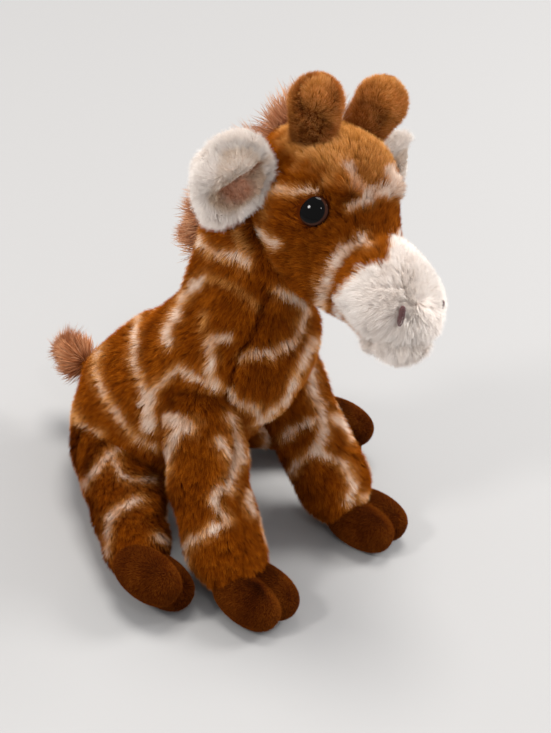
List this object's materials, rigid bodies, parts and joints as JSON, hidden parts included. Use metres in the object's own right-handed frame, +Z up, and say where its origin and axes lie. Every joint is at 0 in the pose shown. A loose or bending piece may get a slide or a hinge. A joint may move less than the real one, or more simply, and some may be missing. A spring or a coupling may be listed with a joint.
{
  "type": "plush giraffe",
  "caption": "Seated stuffed giraffe with swinging legs, ears and tail, a bending neck and a turning head.",
  "frame": {"origin": "middle of the flattened seat, on the level that it sits on", "axes": "+Z up, -Y the way the giraffe faces, +X its left"},
  "size_m": [0.2082, 0.2294, 0.2666],
  "materials": {
    "fur_fabric": "short chestnut pile with cream lines",
    "white_pile": "off-white pile",
    "horn_fabric": "short tan pile",
    "hoof_fabric": "dark brown velour",
    "mane_pile": "long reddish brown pile",
    "fibre_filling": "polyester fibre",
    "pellets": "cloth bag of small plastic pellets",
    "eye_plastic": "glossy black",
    "washer_plastic": "plain",
    "thread": "satin embroidery thread"
  },
  "bodies": {
    "trunk": {"trunk_cover": "fur_fabric", "trunk_filling": "fibre_filling", "pellet_bag": "pellets"},
    "neck": {"neck": "fur_fabric", "mane_neck": "mane_pile"},
    "head": {"head_cover": "fur_fabric", "head_filling": "fibre_filling", "muzzle": "white_pile", "chin": "white_pile", "nostril_right": "thread", "nostril_left": "thread", "eye_right": "eye_plastic", "eye_left": "eye_plastic", "eye_washer_right": "washer_plastic", "eye_washer_left": "washer_plastic", "ossicone_right": "horn_fabric", "ossicone_left": "horn_fabric", "mane_head": "mane_pile"},
    "ear_right": {"ear_right": "fur_fabric", "ear_lining_right": "white_pile"},
    "ear_left": {"ear_left": "fur_fabric", "ear_lining_left": "white_pile"},
    "front_leg_right": {"front_leg_right": "fur_fabric", "front_hoof_right": "hoof_fabric"},
    "front_leg_left": {"front_leg_left": "fur_fabric", "front_hoof_left": "hoof_fabric"},
    "hind_leg_right": {"hind_leg_right": "fur_fabric", "hind_hoof_right": "hoof_fabric"},
    "hind_leg_left": {"hind_leg_left": "fur_fabric", "hind_hoof_left": "hoof_fabric"},
    "tail": {"tail": "fur_fabric", "tail_tuft": "mane_pile"}
  },
  "joints": [
    {"name": "neck_bend", "type": "hinge", "parent": "trunk", "child": "neck", "pos_m": [-0.002, -0.043, 0.102], "axis": [0.9986, 0.0046, -0.0521], "range_deg": [-10, 12], "stiffness_Nm_per_rad": 6},
    {"name": "head_turn", "type": "hinge", "parent": "neck", "child": "head", "pos_m": [0.00187, -0.04944, 0.17562], "axis": [0.0523, -0.087, 0.9948], "range_deg": [-20, 20], "stiffness_Nm_per_rad": 1.5},
    {"name": "ear_right_flap", "type": "hinge", "parent": "head", "child": "ear_right", "pos_m": [-0.01764, -0.05864, 0.21349], "axis": [-0.2895, 0.0407, -0.9563], "range_deg": [-15, 15], "stiffness_Nm_per_rad": 0.08},
    {"name": "ear_left_flap", "type": "hinge", "parent": "head", "child": "ear_left", "pos_m": [0.04798, -0.06786, 0.1982], "axis": [0.1549, -0.0218, 0.9877], "range_deg": [-15, 15], "stiffness_Nm_per_rad": 0.08},
    {"name": "front_leg_right_swing", "type": "hinge", "parent": "trunk", "child": "front_leg_right", "pos_m": [-0.031, -0.053, 0.082], "axis": [0.9527, -0.304, 0], "range_deg": [-15, 4], "stiffness_Nm_per_rad": 1},
    {"name": "front_leg_left_swing", "type": "hinge", "parent": "trunk", "child": "front_leg_left", "pos_m": [0.031, -0.053, 0.082], "axis": [0.9527, 0.304, 0], "range_deg": [-15, 4], "stiffness_Nm_per_rad": 1},
    {"name": "hind_leg_right_swing", "type": "hinge", "parent": "trunk", "child": "hind_leg_right", "pos_m": [-0.031, 0.004, 0.032], "axis": [-0.101, -0.1423, 0.9847], "range_deg": [-22, 3], "stiffness_Nm_per_rad": 1},
    {"name": "hind_leg_left_swing", "type": "hinge", "parent": "trunk", "child": "hind_leg_left", "pos_m": [0.031, 0.004, 0.032], "axis": [0.1441, -0.1162, 0.9827], "range_deg": [-3, 22], "stiffness_Nm_per_rad": 1},
    {"name": "tail_swing", "type": "hinge", "parent": "trunk", "child": "tail", "pos_m": [0, 0.038, 0.038], "axis": [1, 0, 0], "range_deg": [-25, 15], "stiffness_Nm_per_rad": 0.05}
  ]
}
